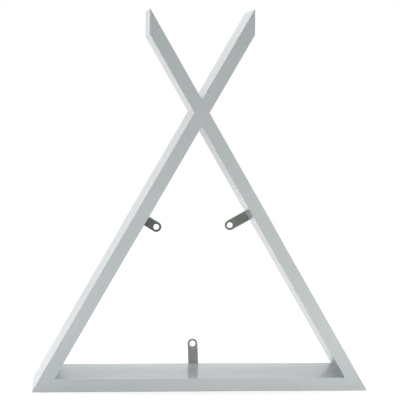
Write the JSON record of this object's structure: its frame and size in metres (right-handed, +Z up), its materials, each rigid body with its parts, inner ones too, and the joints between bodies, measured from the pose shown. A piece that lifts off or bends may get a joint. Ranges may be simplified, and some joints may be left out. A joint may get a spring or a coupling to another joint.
{
  "type": "tipi shaped wall shelf",
  "caption": "Tipi-shaped wall shelf of painted board: slanting legs that cross near the top, a mitred shelf board between their feet, and steel hanger plates that swivel behind them.",
  "frame": {"origin": "centre of the shelf board's underside, midway between the two lower corners and between the front and rear faces", "axes": "+Z up to the crossing and the tips, the open front faces -Y, the wall and the hanger plates are at +Y, +X to the right seen from the front"},
  "size_m": [0.3998, 0.1242, 0.4538],
  "materials": {
    "lacquered_board": "satin light blue-grey lacquer on fibreboard",
    "beech_dowel": "raw beech",
    "plate_steel": "dull grey zinc-plated steel",
    "screw_steel": "zinc-plated steel"
  },
  "bodies": {
    "frame": {"leg_left": "lacquered_board", "leg_right": "lacquered_board", "shelf_board": "lacquered_board", "dowel_left_front": "beech_dowel", "dowel_left_rear": "beech_dowel", "dowel_right_front": "beech_dowel", "dowel_right_rear": "beech_dowel", "screw_left": "screw_steel", "screw_right": "screw_steel", "screw_shelf": "screw_steel"},
    "plate_left": {"hanger_left": "plate_steel"},
    "plate_right": {"hanger_right": "plate_steel"},
    "plate_shelf": {"hanger_shelf": "plate_steel"}
  },
  "joints": [
    {"name": "left_plate_swivel", "type": "hinge", "parent": "frame", "child": "plate_left", "pos_m": [-0.07519, 0.06, 0.20368], "axis": [0, 1, 0], "continuous": true},
    {"name": "right_plate_swivel", "type": "hinge", "parent": "frame", "child": "plate_right", "pos_m": [0.07279, 0.06, 0.20484], "axis": [0, 1, 0], "continuous": true},
    {"name": "shelf_plate_swivel", "type": "hinge", "parent": "frame", "child": "plate_shelf", "pos_m": [0, 0.06, 0.00775], "axis": [0, 1, 0], "continuous": true}
  ]
}
